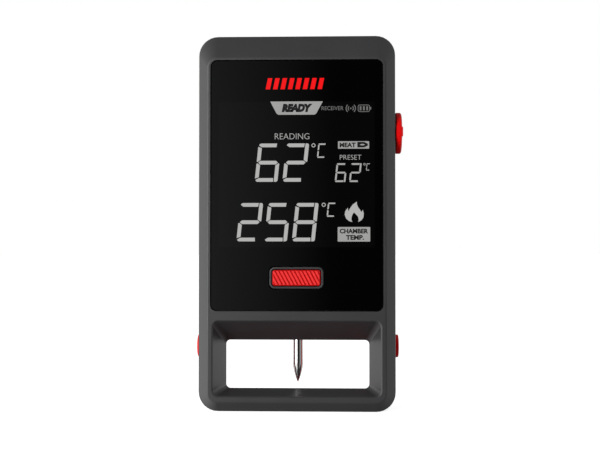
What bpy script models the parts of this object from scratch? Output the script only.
"""A cordless meat thermometer: a base with a readout, a button, a dial, a folding bail and a probe.

Metres, +Z up, the readout faces -Y, and the base stands on Z = 0. The two housings meet on the plane that
holds the probe's axis and the bail's axis. Run it with blender --background --python part.py.
"""

import math

import bmesh
import bpy
from mathutils import Matrix, Vector

MM = 0.001

# Clearances
FIT = 0.3 * MM  # between pieces that seat on each other
RUNNING = 0.15 * MM  # round a shaft that turns or slides
OVERCUT = 1.0 * MM  # how far a cutter runs past the face it opens

# Housing
BODY_WIDTH = 76.0 * MM
BODY_HEIGHT = 145.0 * MM
FRONT_DEPTH = 16.7 * MM
FRONT_Y = -12.0 * MM
CORNER_RADIUS = 7.5 * MM
SIDE_WALL = 2.2 * MM
BACK_WALL = 2.2 * MM
TOP_WALL = 3.2 * MM
FRONT_WALL = 3.5 * MM
BEZEL_SIDE = 3.7 * MM
BEZEL_TOP = 8.85 * MM
BEZEL_BOTTOM = 3.8 * MM
BEZEL_DEPTH = 3.4 * MM
BACK_ROUND = 2.4 * MM
EDGE_ROUND = 0.45 * MM
CORNER_STEPS = 8
ROUND_SIDES = 28
SMALL_SIDES = 14

# Window
WINDOW_LOW = 6.2 * MM
WINDOW_HEIGHT = 28.7 * MM
WINDOW_HALF_WIDTH = 32.3 * MM
WINDOW_CORNER = 2.3 * MM
WINDOW_DEPTH = 12.0 * MM
LIP_SIDE = 4.1 * MM
LIP_BOTTOM = 1.5 * MM
LIP_TOP = 8.1 * MM
LIP_THICKNESS = 1.2 * MM
LIP_EDGE = 0.4 * MM
LIP_CORNER = 1.8 * MM
WINDOW_WALL = 2.1 * MM

# Glass and readout
LAND = 1.1 * MM
GLASS_THICKNESS = 1.0 * MM
GLASS_INSET = 0.1 * MM
GLASS_ABOVE_WINDOW = 4.1 * MM
GLASS_CORNER = 2.3 * MM
ADHESIVE_THICKNESS = 0.3 * MM
ADHESIVE_WIDTH = 1.8 * MM
READOUT_WIDTH = 60.4 * MM
READOUT_HEIGHT = 56.4 * MM
READOUT_ABOVE_GLASS_LOW = 24.0 * MM
READOUT_THICKNESS = 1.8 * MM
BACKLIGHT_THICKNESS = 1.8 * MM
FRAME_WIDTH = 2.5 * MM
FRAME_DEPTH = 2.3 * MM
RIBBON_WIDTH = 24.0 * MM
RIBBON_THICKNESS = 0.3 * MM
RIBBON_DROP = 16.0 * MM

# Button
BUTTON_WIDTH = 18.4 * MM
BUTTON_HEIGHT = 6.0 * MM
BUTTON_ABOVE_GLASS_LOW = 12.55 * MM
BUTTON_PROUD = 0.9 * MM
BUTTON_TRAVEL = 0.8 * MM
BUTTON_FLANGE = 0.8 * MM
BUTTON_CORNER = 0.9 * MM
RIDGE_PITCH = 1.55 * MM
RIDGE_HEIGHT = 0.4 * MM
RIDGE_THICKNESS = 0.8 * MM
RIDGE_ANGLE = math.radians(28.0)
BEZEL_RING = 0.8 * MM
BEZEL_PROUD = 0.4 * MM
BEZEL_FLANGE = 1.0 * MM
BEZEL_FLANGE_REACH = 1.5 * MM
BUTTON_FLANGE_REACH = 1.0 * MM
STEM_RADIUS = 1.6 * MM
SWITCH_SIZE = 6.0 * MM
SWITCH_THICKNESS = 1.4 * MM

# Dial, on the right wall
DIAL_Y = 0.0 * MM
DIAL_BELOW_TOP = 36.95 * MM
DIAL_RADIUS = 8.05 * MM
DIAL_GAP = 0.35 * MM
DIAL_THICKNESS = 2.4 * MM
DIAL_RIM = 0.8 * MM
DIAL_RIB_WIDTH = 3.8 * MM
DIAL_RIB_PROUD = 0.35 * MM
DIAL_RECESS = 0.5 * MM
DIAL_TRAVEL = 0.5 * MM
DIAL_SHAFT_RADIUS = 2.0 * MM
DIAL_SHAFT_LENGTH = 8.6 * MM
DIAL_SOCKET_DEPTH = 1.5 * MM
PLUNGER_RADIUS = 2.6 * MM
PLUNGER_LENGTH = 3.0 * MM
ENCODER_SIZE = 11.0 * MM
ENCODER_DEPTH = 8.5 * MM
ENCODER_BUSH_RADIUS = 3.4 * MM
ENCODER_BUSH_LENGTH = 1.5 * MM
SEAL_THICKNESS = 0.8 * MM
SEAL_ROOM = 0.75 * MM
SEAL_RADIUS = 3.6 * MM

# Bail behind the window
BAIL_PIVOT_Z = 24.1 * MM
BAIL_DEPTH = 6.4 * MM
BAIL_SET_BACK = 1.0 * MM
BAIL_ARM = 2.8 * MM
BAIL_BAR = 3.1 * MM
BAIL_CORNER = 3.0 * MM
BAIL_FLOOR = 2.2 * MM
BAIL_SWING_ROOM = 2.5 * MM
JOURNAL_RADIUS = 2.2 * MM
JOURNAL_BORE = 1.3 * MM
JOURNAL_BORE_DEPTH = 3.0 * MM
WASHER_THICKNESS = 0.4 * MM
WASHER_RADIUS = 3.2 * MM
CAP_RADIUS = 4.5 * MM
CAP_THICKNESS = 1.5 * MM
CAP_RIM = 0.8 * MM

# Probe, stored on the housings' parting plane
PROBE_TIP_Z = 9.6 * MM
PROBE_SHAFT_RADIUS = 2.1 * MM
PROBE_TIP_LENGTH = 9.3 * MM
PROBE_COLLAR_RADIUS = 3.0 * MM
PROBE_COLLAR_LENGTH = 2.0 * MM
PROBE_HANDLE_RADIUS = 3.0 * MM
PROBE_HANDLE_LENGTH = 35.0 * MM
PROBE_CAP_RADIUS = 2.8 * MM
PROBE_CAP_LENGTH = 3.2 * MM
PROBE_BELOW_MOUTH = 0.2 * MM
PROBE_ROOM = 0.4 * MM
SLEEVE_WALL = 1.0 * MM
SLEEVE_LIP = 2.0 * MM
MOUTH_RADIUS = 5.6 * MM
MOUTH_DEPTH = 5.2 * MM
MOUTH_BLOCK_DEPTH = 11.0 * MM
MOUTH_BLOCK_HALF_WIDTH = 8.0 * MM
RING_THICKNESS = 1.0 * MM
RING_DEPTH = 0.5 * MM
RING_BACK_GAP = 0.05 * MM
CONTACT_WIDTH = 2.0 * MM
CONTACT_THICKNESS = 0.4 * MM
CONTACT_LENGTH = 8.0 * MM

# Electronics
BOARD_THICKNESS = 1.4 * MM
BOARD_FRONT_Y = -3.0 * MM
BOARD_GAP = 1.6 * MM
BOARD_ABOVE_CAVITY_LOW = 5.0 * MM
BOARD_BELOW_TOP = 7.0 * MM
SHIELD_SIZE = (16.0 * MM, 1.9 * MM, 14.0 * MM)
SHIELD_FROM_LEFT = 10.8 * MM
SHIELD_ABOVE_BOARD_LOW = 48.0 * MM
CHIP_SIZE = (8.0 * MM, 1.0 * MM, 8.0 * MM)
CHIP_BELOW_BOARD_HIGH = 30.0 * MM
ANTENNA_SIZE = (10.0 * MM, 1.2 * MM, 3.0 * MM)
ANTENNA_BELOW_BOARD_HIGH = 12.0 * MM
BUZZER_RADIUS = 6.0 * MM
BUZZER_THICKNESS = 5.0 * MM
BUZZER_ABOVE_BOARD_LOW = 20.0 * MM
SOUND_HOLE_RADIUS = 0.9 * MM
SOUND_HOLE_PITCH = 3.2 * MM
CELL_THICKNESS = 7.4 * MM
CELL_GAP = 2.2 * MM
CELL_PAD_THICKNESS = 0.5 * MM
PORT_WIDTH = 9.0 * MM
PORT_HEIGHT = 3.2 * MM
PORT_LENGTH = 7.3 * MM
PORT_WALL = 0.35 * MM
PORT_TONGUE = 0.7 * MM
PORT_Y = 8.0 * MM
PORT_CORNER = 1.3 * MM
PORT_BOARD_SIZE = (14.0 * MM, 0.9 * MM, 18.0 * MM)

# Screws
SCREW_RADIUS = 1.1 * MM
SCREW_HEAD_RADIUS = 2.4 * MM
SCREW_HEAD_THICKNESS = 1.4 * MM
SCREW_LENGTH = 11.0 * MM
SCREW_BOSS_RADIUS = 3.1 * MM
SCREW_BOSS_INSET = 6.6 * MM
SCREW_BOSS_BELOW_TOP = 12.0 * MM
SCREW_BOSS_ABOVE_CAVITY_LOW = 8.5 * MM
SCREW_SINK = 1.7 * MM
SCREW_SLOT = 0.7 * MM
BOARD_SCREW_RADIUS = 0.9 * MM
BOARD_SCREW_HEAD_RADIUS = 1.8 * MM
BOARD_SCREW_HEAD_THICKNESS = 0.9 * MM
BOARD_SCREW_LENGTH = 4.5 * MM
BOARD_POST_RADIUS = 2.2 * MM
BOARD_SCREW_INSET = 3.0 * MM

# Places worked out from the sizes above
HALF_WIDTH = BODY_WIDTH / 2
PART_Y = FRONT_Y + FRONT_DEPTH
SLEEVE_RADIUS = PROBE_HANDLE_RADIUS + PROBE_ROOM + SLEEVE_WALL
BACK_Y = PART_Y + SLEEVE_RADIUS + RUNNING + RING_DEPTH + RING_BACK_GAP + BACK_WALL
BEZEL_Y = FRONT_Y + BEZEL_DEPTH
INNER_FRONT_Y = FRONT_Y + FRONT_WALL
INNER_BACK_Y = BACK_Y - BACK_WALL
INNER_TOP_Z = BODY_HEIGHT - TOP_WALL
LIP_Y = FRONT_Y + WINDOW_DEPTH
RECESS_Y = LIP_Y + LIP_THICKNESS
LIP_HALF_WIDTH = WINDOW_HALF_WIDTH - LIP_SIDE
WINDOW_TOP = WINDOW_LOW + WINDOW_HEIGHT
CAVITY_LOW = WINDOW_TOP + WINDOW_WALL
RECESS_HALF_WIDTH = LIP_HALF_WIDTH + BAIL_SET_BACK + BAIL_ARM + WASHER_THICKNESS + 2 * FIT
RECESS_TOP = BAIL_PIVOT_Z + BAIL_DEPTH / 2 + BAIL_SWING_ROOM
POCKET_HALF_WIDTH = HALF_WIDTH - BEZEL_SIDE - LAND
POCKET_LOW = WINDOW_TOP + GLASS_ABOVE_WINDOW - FIT
POCKET_HIGH = BODY_HEIGHT - BEZEL_TOP - LAND + FIT
GLASS_HALF_WIDTH = POCKET_HALF_WIDTH - FIT
GLASS_LOW = POCKET_LOW + FIT
GLASS_HIGH = POCKET_HIGH - FIT
GLASS_FRONT_Y = FRONT_Y + GLASS_INSET
GLASS_BACK_Y = GLASS_FRONT_Y + GLASS_THICKNESS
POCKET_Y = GLASS_BACK_Y + ADHESIVE_THICKNESS + 2 * FIT
READOUT_LOW = GLASS_LOW + READOUT_ABOVE_GLASS_LOW
READOUT_HIGH = READOUT_LOW + READOUT_HEIGHT
BUTTON_Z = GLASS_LOW + BUTTON_ABOVE_GLASS_LOW
BEZEL_HALF_WIDTH = BUTTON_WIDTH / 2 + FIT + BEZEL_RING
BEZEL_HALF_HEIGHT = BUTTON_HEIGHT / 2 + FIT + BEZEL_RING
FLANGE_Y = INNER_FRONT_Y + FIT
BUTTON_FRONT_Y = FRONT_Y - BUTTON_PROUD
BUTTON_BACK_Y = FLANGE_Y + BEZEL_FLANGE + FIT + BUTTON_FLANGE
SWITCH_FRONT_Y = BOARD_FRONT_Y - FIT - SWITCH_THICKNESS
BOARD_BACK_Y = BOARD_FRONT_Y + BOARD_THICKNESS
BOARD_LOW = CAVITY_LOW + BOARD_ABOVE_CAVITY_LOW
BOARD_HIGH = BODY_HEIGHT - BOARD_BELOW_TOP
DIAL_Z = BODY_HEIGHT - DIAL_BELOW_TOP
DIAL_BACK_X = HALF_WIDTH + DIAL_GAP
INNER_X = HALF_WIDTH - SIDE_WALL
ENCODER_RIGHT_X = INNER_X - SEAL_THICKNESS - 2 * SEAL_ROOM
MOUTH_Z = BODY_HEIGHT - MOUTH_DEPTH
MOUTH_BLOCK_Z = BODY_HEIGHT - MOUTH_BLOCK_DEPTH
SLEEVE_LOW = CAVITY_LOW + FIT
SLEEVE_HIGH = MOUTH_BLOCK_Z - FIT
PROBE_CAP_Z = MOUTH_Z - PROBE_BELOW_MOUTH - PROBE_CAP_LENGTH
HANDLE_Z = PROBE_CAP_Z - FIT - PROBE_HANDLE_LENGTH
COLLAR_Z = HANDLE_Z - FIT - PROBE_COLLAR_LENGTH
PROBE_SHAFT_LENGTH = COLLAR_Z - FIT - PROBE_TIP_Z
BAIL_HALF_WIDTH = RECESS_HALF_WIDTH - WASHER_THICKNESS - 2 * FIT
BAIL_LOW = BAIL_FLOOR + FIT
CAP_X = HALF_WIDTH + FIT
BOSS_X = HALF_WIDTH - SCREW_BOSS_INSET
BOSS_HIGH = BODY_HEIGHT - SCREW_BOSS_BELOW_TOP
BOSS_LOW = CAVITY_LOW + SCREW_BOSS_ABOVE_CAVITY_LOW
SCREW_HEAD_Y = BACK_Y - SCREW_SINK
BOARD_LEFT = SCREW_BOSS_RADIUS + FIT - BOSS_X
BOARD_RIGHT = ENCODER_RIGHT_X - ENCODER_DEPTH - BOARD_GAP
SHIELD_X = BOARD_LEFT + SHIELD_FROM_LEFT
SHIELD_Z = BOARD_LOW + SHIELD_ABOVE_BOARD_LOW
CHIP_Z = BOARD_HIGH - CHIP_BELOW_BOARD_HIGH
ANTENNA_Z = BOARD_HIGH - ANTENNA_BELOW_BOARD_HIGH
BUZZER_X = SHIELD_X
BUZZER_Z = BOARD_LOW + BUZZER_ABOVE_BOARD_LOW
CELL_LEFT = SLEEVE_RADIUS + CELL_GAP
CELL_RIGHT = INNER_X - CELL_GAP
CELL_LOW = BOSS_LOW + SCREW_BOSS_RADIUS + CELL_GAP
CELL_HIGH = DIAL_Z - ENCODER_SIZE / 2 - CELL_GAP

COLLECTION = bpy.data.collections.new("meat_thermometer")
CUTTERS = bpy.data.collections.new("cutters")

# Colours
DARK_GREY = (0.048, 0.048, 0.05)
BLACK = (0.006, 0.006, 0.007)
RED = (0.62, 0.005, 0.008)
STEEL = (0.72, 0.72, 0.71)
BRASS = (0.78, 0.57, 0.25)
GREEN = (0.01, 0.12, 0.05)


def clear_scene():
    for obj in list(bpy.data.objects):
        bpy.data.objects.remove(obj, do_unlink=True)
    for collection in (COLLECTION, CUTTERS):
        bpy.context.scene.collection.children.link(collection)


def plastic(name, colour, roughness=0.5):
    return make_material(name, colour, roughness, 0.0)


def metal(name, colour, roughness=0.3):
    return make_material(name, colour, roughness, 1.0)


def make_material(name, colour, roughness, metallic):
    found = bpy.data.materials.get(name)
    if found:
        return found
    material = bpy.data.materials.new(name)
    material.use_nodes = True
    surface = material.node_tree.nodes["Principled BSDF"]
    surface.inputs["Base Color"].default_value = (*colour, 1.0)
    surface.inputs["Roughness"].default_value = roughness
    surface.inputs["Metallic"].default_value = metallic
    return material


def add_object(name, bm, material=None, origin=(0.0, 0.0, 0.0)):
    """An object from a bmesh in world coordinates. Without a material it is a tool."""
    bmesh.ops.recalc_face_normals(bm, faces=bm.faces)
    bmesh.ops.translate(bm, verts=bm.verts, vec=-Vector(origin))
    mesh = bpy.data.meshes.new(name)
    bm.to_mesh(mesh)
    bm.free()
    obj = bpy.data.objects.new(name, mesh)
    obj.location = origin
    if material:
        mesh.materials.append(material)
        COLLECTION.objects.link(obj)
    else:
        CUTTERS.objects.link(obj)
        obj.hide_render = True
        obj.display_type = "WIRE"
    return obj


def boolean(obj, tool, operation):
    modifier = obj.modifiers.new(f"{operation.title()} {tool.name}", "BOOLEAN")
    modifier.operation = operation
    modifier.solver = "EXACT"
    modifier.object = tool
    return obj


def cut(obj, tool):
    return boolean(obj, tool, "DIFFERENCE")


def join(obj, tool):
    return boolean(obj, tool, "UNION")


def bevel(obj, width, segments=2, angle=18.0):
    modifier = obj.modifiers.new("Rounded edges", "BEVEL")
    modifier.width = width
    modifier.segments = segments
    modifier.limit_method = "ANGLE"
    modifier.angle_limit = math.radians(angle)
    return obj


def box(name, low, high, material=None, origin=(0.0, 0.0, 0.0)):
    """A box between two corners."""
    size = Vector(high) - Vector(low)
    centre = (Vector(high) + Vector(low)) / 2
    bm = bmesh.new()
    bmesh.ops.create_cube(bm, size=1.0, matrix=Matrix.Translation(centre) @ Matrix.Diagonal((*size, 1.0)))
    return add_object(name, bm, material, origin)


AXIS_TURNS = {
    "X": Matrix.Rotation(math.pi / 2, 4, "Y"),
    "Y": Matrix.Rotation(-math.pi / 2, 4, "X"),
    "Z": Matrix.Identity(4),
}


def cylinder(
    name, start, length, radius, axis, material=None, end_radius=None, sides=ROUND_SIDES, origin=None
):
    """A cylinder or cone from its start's centre along +axis."""
    turn = AXIS_TURNS[axis]
    centre = Vector(start) + turn.to_3x3() @ Vector((0.0, 0.0, length / 2))
    bm = bmesh.new()
    bmesh.ops.create_cone(
        bm,
        cap_ends=True,
        segments=sides,
        radius1=radius,
        radius2=radius if end_radius is None else end_radius,
        depth=length,
        matrix=Matrix.Translation(centre) @ turn,
    )
    return add_object(name, bm, material, origin or (0.0, 0.0, 0.0))


def turned(name, profile, place, axis, material=None, ring=False, sides=ROUND_SIDES):
    """A turned shape: (radius, height) points, outer side running down, screwed about its own Z."""
    points = [(radius, 0.0, height) for radius, height in profile]
    edges = [(i, i + 1) for i in range(len(points) - 1)]
    if ring:
        edges.append((len(points) - 1, 0))
    mesh = bpy.data.meshes.new(name)
    mesh.from_pydata(points, edges, [])
    obj = bpy.data.objects.new(name, mesh)
    obj.location = place
    obj.rotation_euler = AXIS_TURNS[axis].to_euler()
    if material:
        mesh.materials.append(material)
        COLLECTION.objects.link(obj)
    else:
        CUTTERS.objects.link(obj)
        obj.hide_render = True
        obj.display_type = "WIRE"
    screw = obj.modifiers.new("Turned", "SCREW")
    screw.steps = sides
    screw.render_steps = sides
    screw.use_merge_vertices = True
    screw.merge_threshold = 0.00001
    return obj


def arc(centre_x, centre_z, radius, first, last, steps=CORNER_STEPS // 2):
    """(x, z) points along an arc between two angles in degrees."""
    angles = [math.radians(first + (last - first) * step / steps) for step in range(steps + 1)]
    return [(centre_x + radius * math.cos(angle), centre_z + radius * math.sin(angle)) for angle in angles]


def rounded_outline(half_width, low, high, radius, centre_x=0.0, steps=CORNER_STEPS):
    """(x, z) points of a rounded rectangle, anticlockwise seen from the front."""
    right = centre_x + half_width - radius
    left = centre_x - half_width + radius
    top = high - radius
    bottom = low + radius
    points = arc(right, top, radius, 0, 90, steps)
    points += arc(left, top, radius, 90, 180, steps)
    points += arc(left, bottom, radius, 180, 270, steps)
    points += arc(right, bottom, radius, 270, 360, steps)
    return points


def loft(name, sections, material=None, origin=(0.0, 0.0, 0.0)):
    """A solid through outlines with equal point counts, each (y, outline), front to back."""
    bm = bmesh.new()
    rings = [[bm.verts.new((x, y, z)) for x, z in outline] for y, outline in sections]
    for ahead, behind in zip(rings, rings[1:]):
        for i in range(len(ahead)):
            j = (i + 1) % len(ahead)
            bm.faces.new((ahead[i], ahead[j], behind[j], behind[i]))
    bm.faces.new(rings[0])
    bm.faces.new(rings[-1])
    return add_object(name, bm, material, origin)


def plate(name, front_y, back_y, outline, material=None, origin=(0.0, 0.0, 0.0)):
    """A flat plate of one outline."""
    return loft(name, [(front_y, outline), (back_y, outline)], material, origin)


def body_outline(inset=0.0, top=0.0, bottom=0.0):
    """The housings' outer outline, drawn in at the sides, top and bottom."""
    radius = CORNER_RADIUS - inset
    return rounded_outline(HALF_WIDTH - inset, bottom, BODY_HEIGHT - top, radius)


def window_tool(name):
    """The window's cutter: a flared mouth with a broken front edge, narrowing to the lip."""
    slope = OVERCUT / WINDOW_DEPTH

    def at(depth, edge=0.0):
        share = depth / WINDOW_DEPTH
        return rounded_outline(
            WINDOW_HALF_WIDTH - LIP_SIDE * share + edge,
            WINDOW_LOW + LIP_BOTTOM * share - edge,
            WINDOW_TOP - LIP_TOP * share + edge,
            WINDOW_CORNER - (WINDOW_CORNER - LIP_CORNER) * share + edge,
        )

    sections = [
        (FRONT_Y - OVERCUT, at(-slope * WINDOW_DEPTH, LIP_EDGE + OVERCUT)),
        (FRONT_Y + LIP_EDGE, at(LIP_EDGE)),
        (LIP_Y, at(WINDOW_DEPTH)),
        (RECESS_Y + OVERCUT, at(WINDOW_DEPTH)),
    ]
    return loft(name, sections)


def recess_tool(name):
    """Room for the bail, open at the back."""
    outline = rounded_outline(RECESS_HALF_WIDTH, BAIL_FLOOR, RECESS_TOP, LIP_EDGE)
    return plate(name, RECESS_Y, BACK_Y + OVERCUT, outline)


def cavity_tool(name, front_y, back_y):
    outline = rounded_outline(INNER_X, CAVITY_LOW, INNER_TOP_Z, CORNER_RADIUS - SIDE_WALL)
    return plate(name, front_y, back_y, outline)


def boss_places():
    """Centres of the four screw bosses, as (tag, x, z)."""
    return [
        ("upper_left", -BOSS_X, BOSS_HIGH),
        ("upper_right", BOSS_X, BOSS_HIGH),
        ("lower_left", -BOSS_X, BOSS_LOW),
        ("lower_right", BOSS_X, BOSS_LOW),
    ]


def board_screw_places():
    """Centres of the board's screws, as (tag, x, z)."""
    left = BOARD_LEFT + BOARD_SCREW_INSET
    right = BOARD_RIGHT - BOARD_SCREW_INSET
    low = BOARD_LOW + BOARD_SCREW_INSET
    high = BOARD_HIGH - BOARD_SCREW_INSET
    return [
        ("upper_left", left, high),
        ("upper_right", right, high),
        ("lower_left", left, low),
        ("lower_right", right, low),
    ]


def probe_bores(tag):
    """Cutters for the probe's way through both housings."""
    place = (0.0, PART_Y, RECESS_TOP - OVERCUT)
    low = cylinder(
        f"{tag}_probe_bore", place, CAVITY_LOW - RECESS_TOP + 2 * OVERCUT,
        PROBE_SHAFT_RADIUS + FIT, "Z", sides=SMALL_SIDES,
    )
    throat = cylinder(
        f"{tag}_throat", (0.0, PART_Y, MOUTH_BLOCK_Z - OVERCUT), MOUTH_BLOCK_DEPTH,
        PROBE_HANDLE_RADIUS + FIT, "Z",
    )
    mouth = cylinder(
        f"{tag}_mouth", (0.0, PART_Y, MOUTH_Z), MOUTH_DEPTH + OVERCUT,
        MOUTH_RADIUS, "Z", end_radius=MOUTH_RADIUS + OVERCUT / 2,
    )
    return low, throat, mouth


def mouth_block(tag, front_y, back_y):
    return box(
        f"{tag}_mouth_block",
        (-MOUTH_BLOCK_HALF_WIDTH, front_y, MOUTH_BLOCK_Z),
        (MOUTH_BLOCK_HALF_WIDTH, back_y, INNER_TOP_Z + OVERCUT),
    )


def cut_shared_openings(obj, tag):
    """Everything that crosses the parting plane."""
    for tool in probe_bores(tag):
        cut(obj, tool)
    cut(obj, recess_tool(f"{tag}_recess"))
    pivot = (-HALF_WIDTH - OVERCUT, PART_Y, BAIL_PIVOT_Z)
    journal = JOURNAL_RADIUS + RUNNING
    cut(obj, cylinder(f"{tag}_pivot_bore", pivot, BODY_WIDTH + 2 * OVERCUT, journal, "X"))
    under_dial = (HALF_WIDTH - DIAL_RECESS, DIAL_Y, DIAL_Z)
    clear = DIAL_RADIUS + 2 * FIT
    cut(obj, cylinder(f"{tag}_dial_recess", under_dial, DIAL_RECESS + OVERCUT, clear, "X"))


def front_housing(material):
    sections = [
        (FRONT_Y, body_outline(BEZEL_SIDE, BEZEL_TOP, BEZEL_BOTTOM)),
        (BEZEL_Y, body_outline()),
        (PART_Y - FIT / 2, body_outline()),
    ]
    obj = bevel(loft("front_housing", sections, material), EDGE_ROUND)
    cut(obj, cavity_tool("front_cavity", INNER_FRONT_Y, PART_Y + OVERCUT))
    for tag, x, z in boss_places():
        start = (x, INNER_FRONT_Y - LIP_EDGE, z)
        length = PART_Y - FIT / 2 - start[1]
        join(obj, cylinder(f"front_boss_{tag}", start, length, SCREW_BOSS_RADIUS, "Y", sides=SMALL_SIDES))
        hole = (x, SCREW_HEAD_Y - SCREW_LENGTH - FIT, z)
        radius = SCREW_RADIUS + FIT
        cut(obj, cylinder(f"front_hole_{tag}", hole, SCREW_LENGTH, radius, "Y", sides=SMALL_SIDES))
    for tag, x, z in board_screw_places():
        start = (x, INNER_FRONT_Y - LIP_EDGE, z)
        length = BOARD_FRONT_Y - FIT - start[1]
        join(obj, cylinder(f"post_{tag}", start, length, BOARD_POST_RADIUS, "Y", sides=SMALL_SIDES))
        hole = (x, BOARD_BACK_Y - BOARD_SCREW_LENGTH, z)
        radius = BOARD_SCREW_RADIUS + FIT
        cut(obj, cylinder(f"post_hole_{tag}", hole, BOARD_SCREW_LENGTH, radius, "Y", sides=SMALL_SIDES))
    join(obj, mouth_block("front", BOARD_BACK_Y + FIT, PART_Y - FIT / 2))
    pocket = rounded_outline(POCKET_HALF_WIDTH, POCKET_LOW, POCKET_HIGH, GLASS_CORNER + FIT)
    cut(obj, plate("glass_pocket", FRONT_Y - OVERCUT, POCKET_Y, pocket))
    half = READOUT_WIDTH / 2 + FIT
    low = (-half, POCKET_Y - OVERCUT, READOUT_LOW - FIT)
    cut(obj, box("readout_opening", low, (half, INNER_FRONT_Y + OVERCUT, READOUT_HIGH + FIT)))
    cut(obj, bezel_hole("housing_bezel_hole"))
    cut(obj, window_tool("window"))
    shaft = (INNER_X - OVERCUT, DIAL_Y, DIAL_Z)
    cut(obj, cylinder("dial_hole", shaft, SIDE_WALL + 2 * OVERCUT, DIAL_SHAFT_RADIUS + FIT, "X"))
    cut_shared_openings(obj, "front")
    return obj


def rear_housing(material):
    sections = [
        (PART_Y + FIT / 2, body_outline()),
        (BACK_Y - BACK_ROUND, body_outline()),
        (BACK_Y - BACK_ROUND / 3, body_outline(BACK_ROUND / 3, BACK_ROUND / 3, BACK_ROUND / 3)),
        (BACK_Y, body_outline(BACK_ROUND, BACK_ROUND, BACK_ROUND)),
    ]
    obj = bevel(loft("rear_housing", sections, material), EDGE_ROUND)
    cut(obj, cavity_tool("rear_cavity", PART_Y - OVERCUT, INNER_BACK_Y))
    for tag, x, z in boss_places():
        start = (x, PART_Y + FIT / 2, z)
        length = INNER_BACK_Y + LIP_EDGE - start[1]
        join(obj, cylinder(f"rear_boss_{tag}", start, length, SCREW_BOSS_RADIUS, "Y", sides=SMALL_SIDES))
        hole = (x, PART_Y - OVERCUT, z)
        length = BACK_Y - hole[1] + OVERCUT
        cut(obj, cylinder(f"rear_hole_{tag}", hole, length, SCREW_RADIUS + FIT, "Y", sides=SMALL_SIDES))
        sink = (x, SCREW_HEAD_Y - SCREW_HEAD_THICKNESS - FIT, z)
        length = BACK_Y - sink[1] + OVERCUT
        cut(obj, cylinder(f"rear_sink_{tag}", sink, length, SCREW_HEAD_RADIUS + FIT, "Y"))
    join(obj, mouth_block("rear", PART_Y + FIT / 2, INNER_BACK_Y + LIP_EDGE))
    for column in (-1, 0, 1):
        for row in (-1, 0, 1):
            x = BUZZER_X + column * SOUND_HOLE_PITCH
            hole = (x, INNER_BACK_Y - OVERCUT, BUZZER_Z + row * SOUND_HOLE_PITCH)
            name = f"sound_hole_{column}_{row}"
            cut(obj, cylinder(name, hole, BACK_WALL + 2 * OVERCUT, SOUND_HOLE_RADIUS, "Y", sides=12))
    cut(obj, port_hole())
    cut_shared_openings(obj, "rear")
    return obj


def bezel_hole(name):
    outline = rounded_outline(
        BEZEL_HALF_WIDTH + FIT, BUTTON_Z - BEZEL_HALF_HEIGHT - FIT, BUTTON_Z + BEZEL_HALF_HEIGHT + FIT,
        BUTTON_CORNER + BEZEL_RING + FIT,
    )
    return plate(name, GLASS_FRONT_Y - OVERCUT, INNER_FRONT_Y + OVERCUT, outline)


def display_glass(material):
    outline = rounded_outline(GLASS_HALF_WIDTH, GLASS_LOW, GLASS_HIGH, GLASS_CORNER)
    obj = plate("display_glass", GLASS_FRONT_Y, GLASS_BACK_Y, outline, material)
    return cut(obj, bezel_hole("glass_bezel_hole"))


def glass_adhesive(material):
    front = GLASS_BACK_Y + FIT
    back = front + ADHESIVE_THICKNESS
    outline = rounded_outline(GLASS_HALF_WIDTH, GLASS_LOW, GLASS_HIGH, GLASS_CORNER, steps=4)
    obj = plate("glass_adhesive", front, back, outline, material)
    inner = rounded_outline(
        GLASS_HALF_WIDTH - ADHESIVE_WIDTH, GLASS_LOW + ADHESIVE_WIDTH, GLASS_HIGH - ADHESIVE_WIDTH,
        GLASS_CORNER / 2, steps=4,
    )
    return cut(obj, plate("adhesive_opening", front - OVERCUT, back + OVERCUT, inner))


def readout_box(name, front_y, back_y, material):
    half = READOUT_WIDTH / 2
    return box(name, (-half, front_y, READOUT_LOW), (half, back_y, READOUT_HIGH), material)


def readout(dark, clear, frame):
    panel_back = GLASS_BACK_Y + FIT + READOUT_THICKNESS
    readout_box("lcd_panel", GLASS_BACK_Y + FIT, panel_back, dark)
    light_front = panel_back + FIT
    readout_box("lcd_backlight", light_front, light_front + BACKLIGHT_THICKNESS, clear)
    half = READOUT_WIDTH / 2 + FIT
    low = (-half - FRAME_WIDTH, FLANGE_Y, READOUT_LOW - FIT - FRAME_WIDTH)
    high = (half + FRAME_WIDTH, FLANGE_Y + FRAME_DEPTH, READOUT_HIGH + FIT + FRAME_WIDTH)
    obj = box("lcd_frame", low, high, frame)
    low = (-half, low[1] - OVERCUT, READOUT_LOW - FIT)
    high = (half, high[1] + OVERCUT, READOUT_HIGH + FIT)
    return cut(obj, box("frame_opening", low, high))


def lcd_ribbon(material):
    """A flat ribbon that leaves the backlight and bends down to the board."""
    light_back = GLASS_BACK_Y + 2 * FIT + READOUT_THICKNESS + BACKLIGHT_THICKNESS
    start_y = max(light_back, FLANGE_Y + FRAME_DEPTH) + FIT
    end_y = BOARD_FRONT_Y - FIT - RIBBON_THICKNESS
    high = READOUT_LOW + RIBBON_DROP
    low = READOUT_LOW + FRAME_WIDTH
    middle = (high + low) / 2
    half = RIBBON_WIDTH / 2
    bm = bmesh.new()
    line = [(start_y, high), (start_y, middle), (end_y, middle - (end_y - start_y)), (end_y, low)]
    left = [bm.verts.new((-half, y, z)) for y, z in line]
    right = [bm.verts.new((half, y, z)) for y, z in line]
    for i in range(len(line) - 1):
        bm.faces.new((left[i], left[i + 1], right[i + 1], right[i]))
    obj = add_object("lcd_ribbon", bm, material)
    solid = obj.modifiers.new("Thickness", "SOLIDIFY")
    solid.thickness = RIBBON_THICKNESS
    solid.offset = 0.0
    return obj


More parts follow.
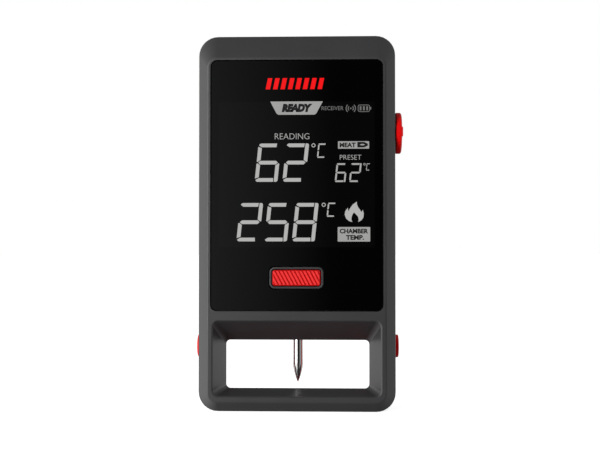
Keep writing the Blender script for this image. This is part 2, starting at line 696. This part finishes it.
def button_bezel(material):
    radius = BUTTON_CORNER + BEZEL_RING
    outline = rounded_outline(
        BEZEL_HALF_WIDTH, BUTTON_Z - BEZEL_HALF_HEIGHT, BUTTON_Z + BEZEL_HALF_HEIGHT, radius,
    )
    flange = rounded_outline(
        BEZEL_HALF_WIDTH + BEZEL_FLANGE_REACH, BUTTON_Z - BEZEL_HALF_HEIGHT - BEZEL_FLANGE_REACH,
        BUTTON_Z + BEZEL_HALF_HEIGHT + BEZEL_FLANGE_REACH, radius,
    )
    obj = plate("button_bezel", FRONT_Y - BEZEL_PROUD, FLANGE_Y + BEZEL_FLANGE, outline, material)
    bevel(obj, EDGE_ROUND / 3, segments=1)
    join(obj, plate("bezel_flange", FLANGE_Y, FLANGE_Y + BEZEL_FLANGE, flange))
    half_height = BUTTON_HEIGHT / 2 + FIT
    hole = rounded_outline(
        BUTTON_WIDTH / 2 + FIT, BUTTON_Z - half_height, BUTTON_Z + half_height, BUTTON_CORNER + FIT,
    )
    back = FLANGE_Y + BEZEL_FLANGE + OVERCUT
    return cut(obj, plate("bezel_opening", FRONT_Y - BEZEL_PROUD - OVERCUT, back, hole))


def button_outline(grow=0.0):
    half_height = BUTTON_HEIGHT / 2 + grow
    return rounded_outline(
        BUTTON_WIDTH / 2 + grow, BUTTON_Z - half_height, BUTTON_Z + half_height, BUTTON_CORNER,
    )


def button_ridges():
    """Slanted bars across the button's face, trimmed to a margin inside its edge."""
    margin = BUTTON_CORNER / 2
    bm = bmesh.new()
    count = math.ceil(BUTTON_WIDTH / RIDGE_PITCH) + 2
    for i in range(count):
        x = (i - (count - 1) / 2) * RIDGE_PITCH
        size = Matrix.Diagonal((RIDGE_THICKNESS, 2 * RIDGE_HEIGHT, BUTTON_HEIGHT * 1.4, 1.0))
        slant = Matrix.Rotation(-RIDGE_ANGLE, 4, "Y")
        place = Matrix.Translation((x, BUTTON_FRONT_Y, BUTTON_Z))
        bmesh.ops.create_cube(bm, size=1.0, matrix=place @ slant @ size)
    ridges = add_object("button_ridges", bm)
    half_height = BUTTON_HEIGHT / 2 - margin
    inside = rounded_outline(
        BUTTON_WIDTH / 2 - margin, BUTTON_Z - half_height, BUTTON_Z + half_height, BUTTON_CORNER / 2,
    )
    trim = plate("button_ridge_trim", BUTTON_FRONT_Y - RIDGE_HEIGHT, BUTTON_FRONT_Y + RIDGE_HEIGHT, inside)
    return boolean(ridges, trim, "INTERSECT")


def front_button(material):
    origin = (0.0, BUTTON_FRONT_Y, BUTTON_Z)
    obj = plate("front_button", BUTTON_FRONT_Y, BUTTON_BACK_Y, button_outline(), material, origin)
    bevel(obj, EDGE_ROUND / 2, segments=1)
    flange_y = BUTTON_BACK_Y - BUTTON_FLANGE
    join(obj, plate("button_flange", flange_y, BUTTON_BACK_Y, button_outline(BUTTON_FLANGE_REACH)))
    stem = (0.0, BUTTON_BACK_Y - OVERCUT / 2, BUTTON_Z)
    reach = SWITCH_FRONT_Y - BUTTON_TRAVEL - RUNNING - stem[1]
    join(obj, cylinder("button_stem", stem, reach, STEM_RADIUS, "Y", sides=SMALL_SIDES))
    return join(obj, button_ridges())


def button_switch(material):
    half = SWITCH_SIZE / 2
    low = (-half, SWITCH_FRONT_Y, BUTTON_Z - half)
    high = (half, SWITCH_FRONT_Y + SWITCH_THICKNESS, BUTTON_Z + half)
    return box("button_switch", low, high, material)


def dial_knob(material):
    """The knob: a turned disc with a blind socket, and a grip rib across its face."""
    back = DIAL_BACK_X
    front = back + DIAL_THICKNESS
    socket = DIAL_SHAFT_RADIUS + FIT
    profile = [
        (0.0, front - back),
        (DIAL_RADIUS - DIAL_RIM, front - back),
        (DIAL_RADIUS - DIAL_RIM / 4, front - back - DIAL_RIM / 4),
        (DIAL_RADIUS, front - back - DIAL_RIM),
        (DIAL_RADIUS, DIAL_RIM / 2),
        (DIAL_RADIUS - DIAL_RIM / 2, 0.0),
        (socket, 0.0),
        (socket, DIAL_SOCKET_DEPTH),
        (0.0, DIAL_SOCKET_DEPTH),
    ]
    obj = turned("dial_knob", profile, (back, DIAL_Y, DIAL_Z), "X", material, sides=48)
    reach = DIAL_RADIUS - DIAL_RIM / 2
    low = (front - DIAL_RIM, DIAL_Y - reach, DIAL_Z - DIAL_RIB_WIDTH / 2)
    high = (front + DIAL_RIB_PROUD, DIAL_Y + reach, DIAL_Z + DIAL_RIB_WIDTH / 2)
    return join(obj, bevel(box("dial_rib", low, high), DIAL_RIB_PROUD / 3, segments=1))


def dial_inside(steel, black, rubber):
    """The shaft, the plunger that it presses, the encoder round them and the seal at the wall."""
    shaft_end = DIAL_BACK_X + DIAL_SOCKET_DEPTH - FIT
    shaft_x = shaft_end - DIAL_SHAFT_LENGTH
    place = (shaft_x, DIAL_Y, DIAL_Z)
    cylinder("dial_shaft", place, DIAL_SHAFT_LENGTH, DIAL_SHAFT_RADIUS, "X", steel, origin=place)
    plunger_x = shaft_x - FIT - PLUNGER_LENGTH
    place = (plunger_x, DIAL_Y, DIAL_Z)
    cylinder("dial_plunger", place, PLUNGER_LENGTH, PLUNGER_RADIUS, "X", black, origin=place)
    left = ENCODER_RIGHT_X - ENCODER_DEPTH
    half = ENCODER_SIZE / 2
    low = (left, DIAL_Y - half, DIAL_Z - half)
    face_x = ENCODER_RIGHT_X - ENCODER_BUSH_LENGTH
    obj = box("encoder_body", low, (face_x, DIAL_Y + half, DIAL_Z + half), steel)
    bush = (face_x - FIT, DIAL_Y, DIAL_Z)
    join(obj, cylinder("encoder_bush", bush, ENCODER_BUSH_LENGTH + FIT, ENCODER_BUSH_RADIUS, "X"))
    bore = (plunger_x - DIAL_TRAVEL - FIT, DIAL_Y, DIAL_Z)
    length = ENCODER_RIGHT_X + OVERCUT - bore[0]
    cut(obj, cylinder("encoder_bore", bore, length, PLUNGER_RADIUS + RUNNING, "X"))
    place = ((ENCODER_RIGHT_X + INNER_X - SEAL_THICKNESS) / 2, DIAL_Y, DIAL_Z)
    ring("dial_seal", DIAL_SHAFT_RADIUS + RUNNING, SEAL_RADIUS, SEAL_THICKNESS, place, "X", rubber)


def ring(name, inner, outer, thickness, place, axis, material, sides=ROUND_SIDES):
    profile = [(outer, thickness), (outer, 0.0), (inner, 0.0), (inner, thickness)]
    return turned(name, profile, place, axis, material, ring=True, sides=sides)


def bail_outline():
    """The U's outline, round at its lower corners inside and out."""
    outer = BAIL_HALF_WIDTH
    inner = BAIL_HALF_WIDTH - BAIL_ARM
    bar = BAIL_LOW + BAIL_BAR
    small = BAIL_CORNER / 2
    points = [(outer, BAIL_PIVOT_Z), (inner, BAIL_PIVOT_Z)]
    points += arc(inner - small, bar + small, small, 0, -90)
    points += arc(small - inner, bar + small, small, -90, -180)
    points += [(-inner, BAIL_PIVOT_Z), (-outer, BAIL_PIVOT_Z)]
    points += arc(BAIL_CORNER - outer, BAIL_LOW + BAIL_CORNER, BAIL_CORNER, 180, 270)
    points += arc(outer - BAIL_CORNER, BAIL_LOW + BAIL_CORNER, BAIL_CORNER, 270, 360)
    return points


def stand_bail(material):
    pivot = Vector((0.0, PART_Y, BAIL_PIVOT_Z))
    front = PART_Y - BAIL_DEPTH / 2
    obj = plate("stand_bail", front, front + BAIL_DEPTH, bail_outline(), material, pivot)
    for side in (-1, 1):
        tag = "left" if side < 0 else "right"
        outer = side * BAIL_HALF_WIDTH
        inner = side * (BAIL_HALF_WIDTH - BAIL_ARM)
        start = (min(outer, inner), PART_Y, BAIL_PIVOT_Z)
        join(obj, cylinder(f"bail_eye_{tag}", start, BAIL_ARM, BAIL_DEPTH / 2, "X"))
        tip = HALF_WIDTH - RUNNING
        start = (side * tip if side < 0 else BAIL_HALF_WIDTH - BAIL_ARM / 2, PART_Y, BAIL_PIVOT_Z)
        length = tip - BAIL_HALF_WIDTH + BAIL_ARM / 2
        join(obj, cylinder(f"journal_{tag}", start, length, JOURNAL_RADIUS, "X"))
        start = (side * tip - (OVERCUT if side < 0 else JOURNAL_BORE_DEPTH), PART_Y, BAIL_PIVOT_Z)
        length = JOURNAL_BORE_DEPTH + OVERCUT
        cut(obj, cylinder(f"journal_bore_{tag}", start, length, JOURNAL_BORE, "X", sides=SMALL_SIDES))
    return obj


def stand_caps(material):
    """The red round ends of the bail's pivots, each a turned disc with a spigot into its journal."""
    spigot = JOURNAL_BORE - FIT
    length = JOURNAL_BORE_DEPTH - RUNNING
    profile = [
        (0.0, CAP_THICKNESS),
        (CAP_RADIUS - CAP_RIM, CAP_THICKNESS),
        (CAP_RADIUS - CAP_RIM / 4, CAP_THICKNESS - CAP_RIM / 4),
        (CAP_RADIUS, CAP_THICKNESS - CAP_RIM),
        (CAP_RADIUS, 0.0),
        (spigot, 0.0),
        (spigot, -length),
        (0.0, -length),
    ]
    right = turned("stand_cap_right", profile, (CAP_X, PART_Y, BAIL_PIVOT_Z), "X", material)
    left = turned("stand_cap_left", profile, (-CAP_X, PART_Y, BAIL_PIVOT_Z), "X", material)
    left.rotation_euler = Matrix.Rotation(-math.pi / 2, 4, "Y").to_euler()
    return right, left


def stand_washers(material):
    inner = JOURNAL_RADIUS + RUNNING
    for side, tag in ((-1, "left"), (1, "right")):
        near = BAIL_HALF_WIDTH + FIT
        place = (near if side > 0 else -near - WASHER_THICKNESS, PART_Y, BAIL_PIVOT_Z)
        ring(f"stand_washer_{tag}", inner, WASHER_RADIUS, WASHER_THICKNESS, place, "X", material)


def probe_shaft(material):
    """The steel shaft with its pointed tip, the tip's side following half a parabola."""
    tip = []
    steps = 10
    for step in range(steps, 0, -1):
        share = step / steps
        tip.append((PROBE_SHAFT_RADIUS * (1 - (1 - share) ** 2.0), PROBE_TIP_LENGTH * share))
    profile = [(0.0, PROBE_SHAFT_LENGTH), (PROBE_SHAFT_RADIUS, PROBE_SHAFT_LENGTH)] + tip + [(0.0, 0.0)]
    return turned("probe_shaft", profile, (0.0, PART_Y, PROBE_TIP_Z), "Z", material)


def probe_top(steel, black):
    """The collar, the insulating handle and the contact cap above the shaft."""
    collar = (0.0, PART_Y, COLLAR_Z)
    cylinder("probe_collar", collar, PROBE_COLLAR_LENGTH, PROBE_COLLAR_RADIUS, "Z", steel, origin=collar)
    handle = (0.0, PART_Y, HANDLE_Z)
    cylinder("probe_handle", handle, PROBE_HANDLE_LENGTH, PROBE_HANDLE_RADIUS, "Z", black, origin=handle)
    rim = PROBE_CAP_RADIUS / 2
    profile = [
        (0.0, PROBE_CAP_LENGTH),
        (rim, PROBE_CAP_LENGTH - rim / 6),
        (PROBE_CAP_RADIUS - rim / 4, PROBE_CAP_LENGTH - rim / 2),
        (PROBE_CAP_RADIUS, PROBE_CAP_LENGTH - rim),
        (PROBE_CAP_RADIUS, 0.0),
        (0.0, 0.0),
    ]
    turned("probe_cap", profile, (0.0, PART_Y, PROBE_CAP_Z), "Z", steel)


def probe_sleeve(material):
    """The tube that holds the stored probe, narrow at its lower end, with slots for the contacts."""
    wide = SLEEVE_RADIUS - SLEEVE_WALL
    narrow = PROBE_SHAFT_RADIUS + FIT
    length = SLEEVE_HIGH - SLEEVE_LOW
    profile = [
        (SLEEVE_RADIUS, length),
        (SLEEVE_RADIUS, 0.0),
        (narrow, 0.0),
        (narrow, SLEEVE_LIP),
        (wide, SLEEVE_LIP),
        (wide, length),
    ]
    obj = turned("probe_sleeve", profile, (0.0, PART_Y, SLEEVE_LOW), "Z", material, ring=True)
    for tag, z in contact_places():
        half = CONTACT_WIDTH / 2 + FIT
        low = (wide / 2, PART_Y - half, z - FIT)
        high = (SLEEVE_RADIUS + OVERCUT, PART_Y + half, z + CONTACT_LENGTH + FIT)
        cut(obj, box(f"contact_slot_{tag}", low, high))
    return obj


def contact_places():
    """Lower ends of the two charging contacts beside the probe."""
    return [("lower", COLLAR_Z - CONTACT_LENGTH), ("upper", SLEEVE_HIGH - 2 * CONTACT_LENGTH)]


def dock_contacts(material):
    """Leaf contacts in the sleeve's slots, close beside the probe."""
    for tag, z in contact_places():
        near = PROBE_HANDLE_RADIUS + FIT
        low = (near, PART_Y - CONTACT_WIDTH / 2, z)
        high = (near + CONTACT_THICKNESS, PART_Y + CONTACT_WIDTH / 2, z + CONTACT_LENGTH)
        box(f"dock_contact_{tag}", low, high, material)


def sleeve_seals(material):
    """Rubber rings round the sleeve, near its ends."""
    for tag, z in (("lower", SLEEVE_LOW + SLEEVE_LIP), ("upper", SLEEVE_HIGH - SLEEVE_LIP - RING_THICKNESS)):
        inner = SLEEVE_RADIUS + RUNNING
        place = (0.0, PART_Y, z)
        ring(f"sleeve_seal_{tag}", inner, inner + RING_DEPTH, RING_THICKNESS, place, "Z", material)


def main_board(material):
    low = (BOARD_LEFT, BOARD_FRONT_Y, BOARD_LOW)
    obj = box("main_board", low, (BOARD_RIGHT, BOARD_BACK_Y, BOARD_HIGH), material)
    for tag, x, z in board_screw_places():
        place = (x, BOARD_FRONT_Y - OVERCUT, z)
        length = BOARD_THICKNESS + 2 * OVERCUT
        radius = BOARD_SCREW_RADIUS + FIT
        cut(obj, cylinder(f"board_hole_{tag}", place, length, radius, "Y", sides=SMALL_SIDES))
    return obj


def on_board(name, size, x, z, material):
    """A box on the board's back face, centred on x and z."""
    low = (x - size[0] / 2, BOARD_BACK_Y + FIT, z - size[2] / 2)
    high = (x + size[0] / 2, BOARD_BACK_Y + FIT + size[1], z + size[2] / 2)
    return box(name, low, high, material)


def board_parts(steel, black, ceramic):
    on_board("radio_shield", SHIELD_SIZE, SHIELD_X, SHIELD_Z, steel)
    on_board("processor_chip", CHIP_SIZE, SHIELD_X, CHIP_Z, black)
    on_board("antenna", ANTENNA_SIZE, SHIELD_X, ANTENNA_Z, ceramic)
    place = (BUZZER_X, BOARD_BACK_Y + FIT, BUZZER_Z)
    cylinder("buzzer", place, BUZZER_THICKNESS, BUZZER_RADIUS, "Y", black)


def battery(cell, pad):
    pad_back = INNER_BACK_Y - FIT
    pad_front = pad_back - CELL_PAD_THICKNESS
    box("battery_pad", (CELL_LEFT, pad_front, CELL_LOW), (CELL_RIGHT, pad_back, CELL_HIGH), pad)
    back = pad_front - FIT
    low = (CELL_LEFT, back - CELL_THICKNESS, CELL_LOW)
    return bevel(box("battery_cell", low, (CELL_RIGHT, back, CELL_HIGH), cell), EDGE_ROUND * 2)


def port_outline(grow):
    """The charging port's outline in the YZ plane, its long side upright."""
    return rounded_outline(
        PORT_HEIGHT / 2 + grow, DIAL_Z - PORT_WIDTH / 2 - grow, DIAL_Z + PORT_WIDTH / 2 + grow,
        PORT_CORNER + grow, centre_x=PORT_Y, steps=4,
    )


def across(name, left, right, outline, material=None):
    """A plate whose (y, z) outline runs from left to right along X."""
    bm = bmesh.new()
    ends = [[bm.verts.new((x, y, z)) for y, z in outline] for x in (left, right)]
    for i in range(len(outline)):
        j = (i + 1) % len(outline)
        bm.faces.new((ends[0][i], ends[0][j], ends[1][j], ends[1][i]))
    bm.faces.new(ends[0])
    bm.faces.new(ends[1])
    return add_object(name, bm, material)


def port_hole():
    return across("port_hole", -HALF_WIDTH - OVERCUT, -INNER_X + OVERCUT, port_outline(FIT))


def charge_port(steel, board):
    """The port's shell with its tongue, and the small board that carries it."""
    left = -HALF_WIDTH + FIT
    right = left + PORT_LENGTH
    obj = across("charge_port", left, right, port_outline(0.0), steel)
    cut(obj, across("port_hollow", left - OVERCUT, right - OVERCUT, port_outline(-PORT_WALL)))
    half = PORT_WIDTH / 2 - PORT_CORNER
    low = (left + OVERCUT, PORT_Y - PORT_TONGUE / 2, DIAL_Z - half)
    join(obj, box("port_tongue", low, (right - OVERCUT / 2, PORT_Y + PORT_TONGUE / 2, DIAL_Z + half)))
    front = PORT_Y - PORT_HEIGHT / 2 - FIT - PORT_BOARD_SIZE[1]
    low = (-INNER_X + FIT, front, DIAL_Z - PORT_BOARD_SIZE[2] / 2)
    high = (low[0] + PORT_BOARD_SIZE[0], front + PORT_BOARD_SIZE[1], DIAL_Z + PORT_BOARD_SIZE[2] / 2)
    box("charge_board", low, high, board)
    return obj


def screw(name, x, z, head_y, head_radius, head_thickness, radius, length, material):
    """A pan-head screw pointing forward from its head, with a cross slot."""
    profile = [
        (0.0, head_thickness),
        (head_radius, head_thickness * 0.7),
        (head_radius, 0.0),
        (radius, 0.0),
        (radius, head_thickness - length),
        (0.0, head_thickness - length),
    ]
    obj = turned(name, profile, (x, head_y, z), "Y", material, sides=SMALL_SIDES)
    reach = head_radius * 0.65
    half = SCREW_SLOT / 2 * head_radius / SCREW_HEAD_RADIUS
    low_y = head_y + head_thickness * 0.4
    for tag, half_x, half_z in (("flat", reach, half), ("upright", half, reach)):
        low = (x - half_x, low_y, z - half_z)
        cut(obj, box(f"{name}_slot_{tag}", low, (x + half_x, low_y + OVERCUT, z + half_z)))
    return obj


def screws(steel):
    for tag, x, z in boss_places():
        head_y = SCREW_HEAD_Y - SCREW_HEAD_THICKNESS
        screw(
            f"housing_screw_{tag}", x, z, head_y, SCREW_HEAD_RADIUS, SCREW_HEAD_THICKNESS,
            SCREW_RADIUS, SCREW_LENGTH, steel,
        )
    for tag, x, z in board_screw_places():
        head_y = BOARD_BACK_Y + FIT
        screw(
            f"board_screw_{tag}", x, z, head_y, BOARD_SCREW_HEAD_RADIUS, BOARD_SCREW_HEAD_THICKNESS,
            BOARD_SCREW_RADIUS, BOARD_SCREW_LENGTH, steel,
        )


def main():
    clear_scene()
    shell = plastic("dark grey plastic", DARK_GREY, 0.45)
    black = plastic("black plastic", BLACK, 0.5)
    red = plastic("red plastic", RED, 0.3)
    glass = plastic("black glass", BLACK, 0.05)
    rubber = plastic("black rubber", BLACK, 0.8)
    steel = metal("steel", STEEL, 0.15)
    front_housing(shell)
    rear_housing(shell)
    display_glass(glass)
    glass_adhesive(black)
    readout(black, plastic("light guide", (0.8, 0.8, 0.8)), black)
    lcd_ribbon(plastic("amber film", (0.5, 0.2, 0.03)))
    button_bezel(shell)
    front_button(red)
    button_switch(black)
    dial_knob(red)
    dial_inside(steel, black, rubber)
    stand_bail(red)
    stand_caps(red)
    stand_washers(black)
    probe_shaft(metal("polished steel", STEEL, 0.08))
    probe_top(steel, plastic("black ceramic", BLACK, 0.3))
    probe_sleeve(black)
    dock_contacts(metal("gilt contact", BRASS))
    sleeve_seals(rubber)
    main_board(plastic("green board", GREEN))
    board_parts(steel, black, plastic("white ceramic", (0.8, 0.8, 0.78)))
    battery(metal("foil cell", (0.6, 0.6, 0.62), 0.4), rubber)
    charge_port(steel, plastic("green board", GREEN))
    screws(steel)


main()
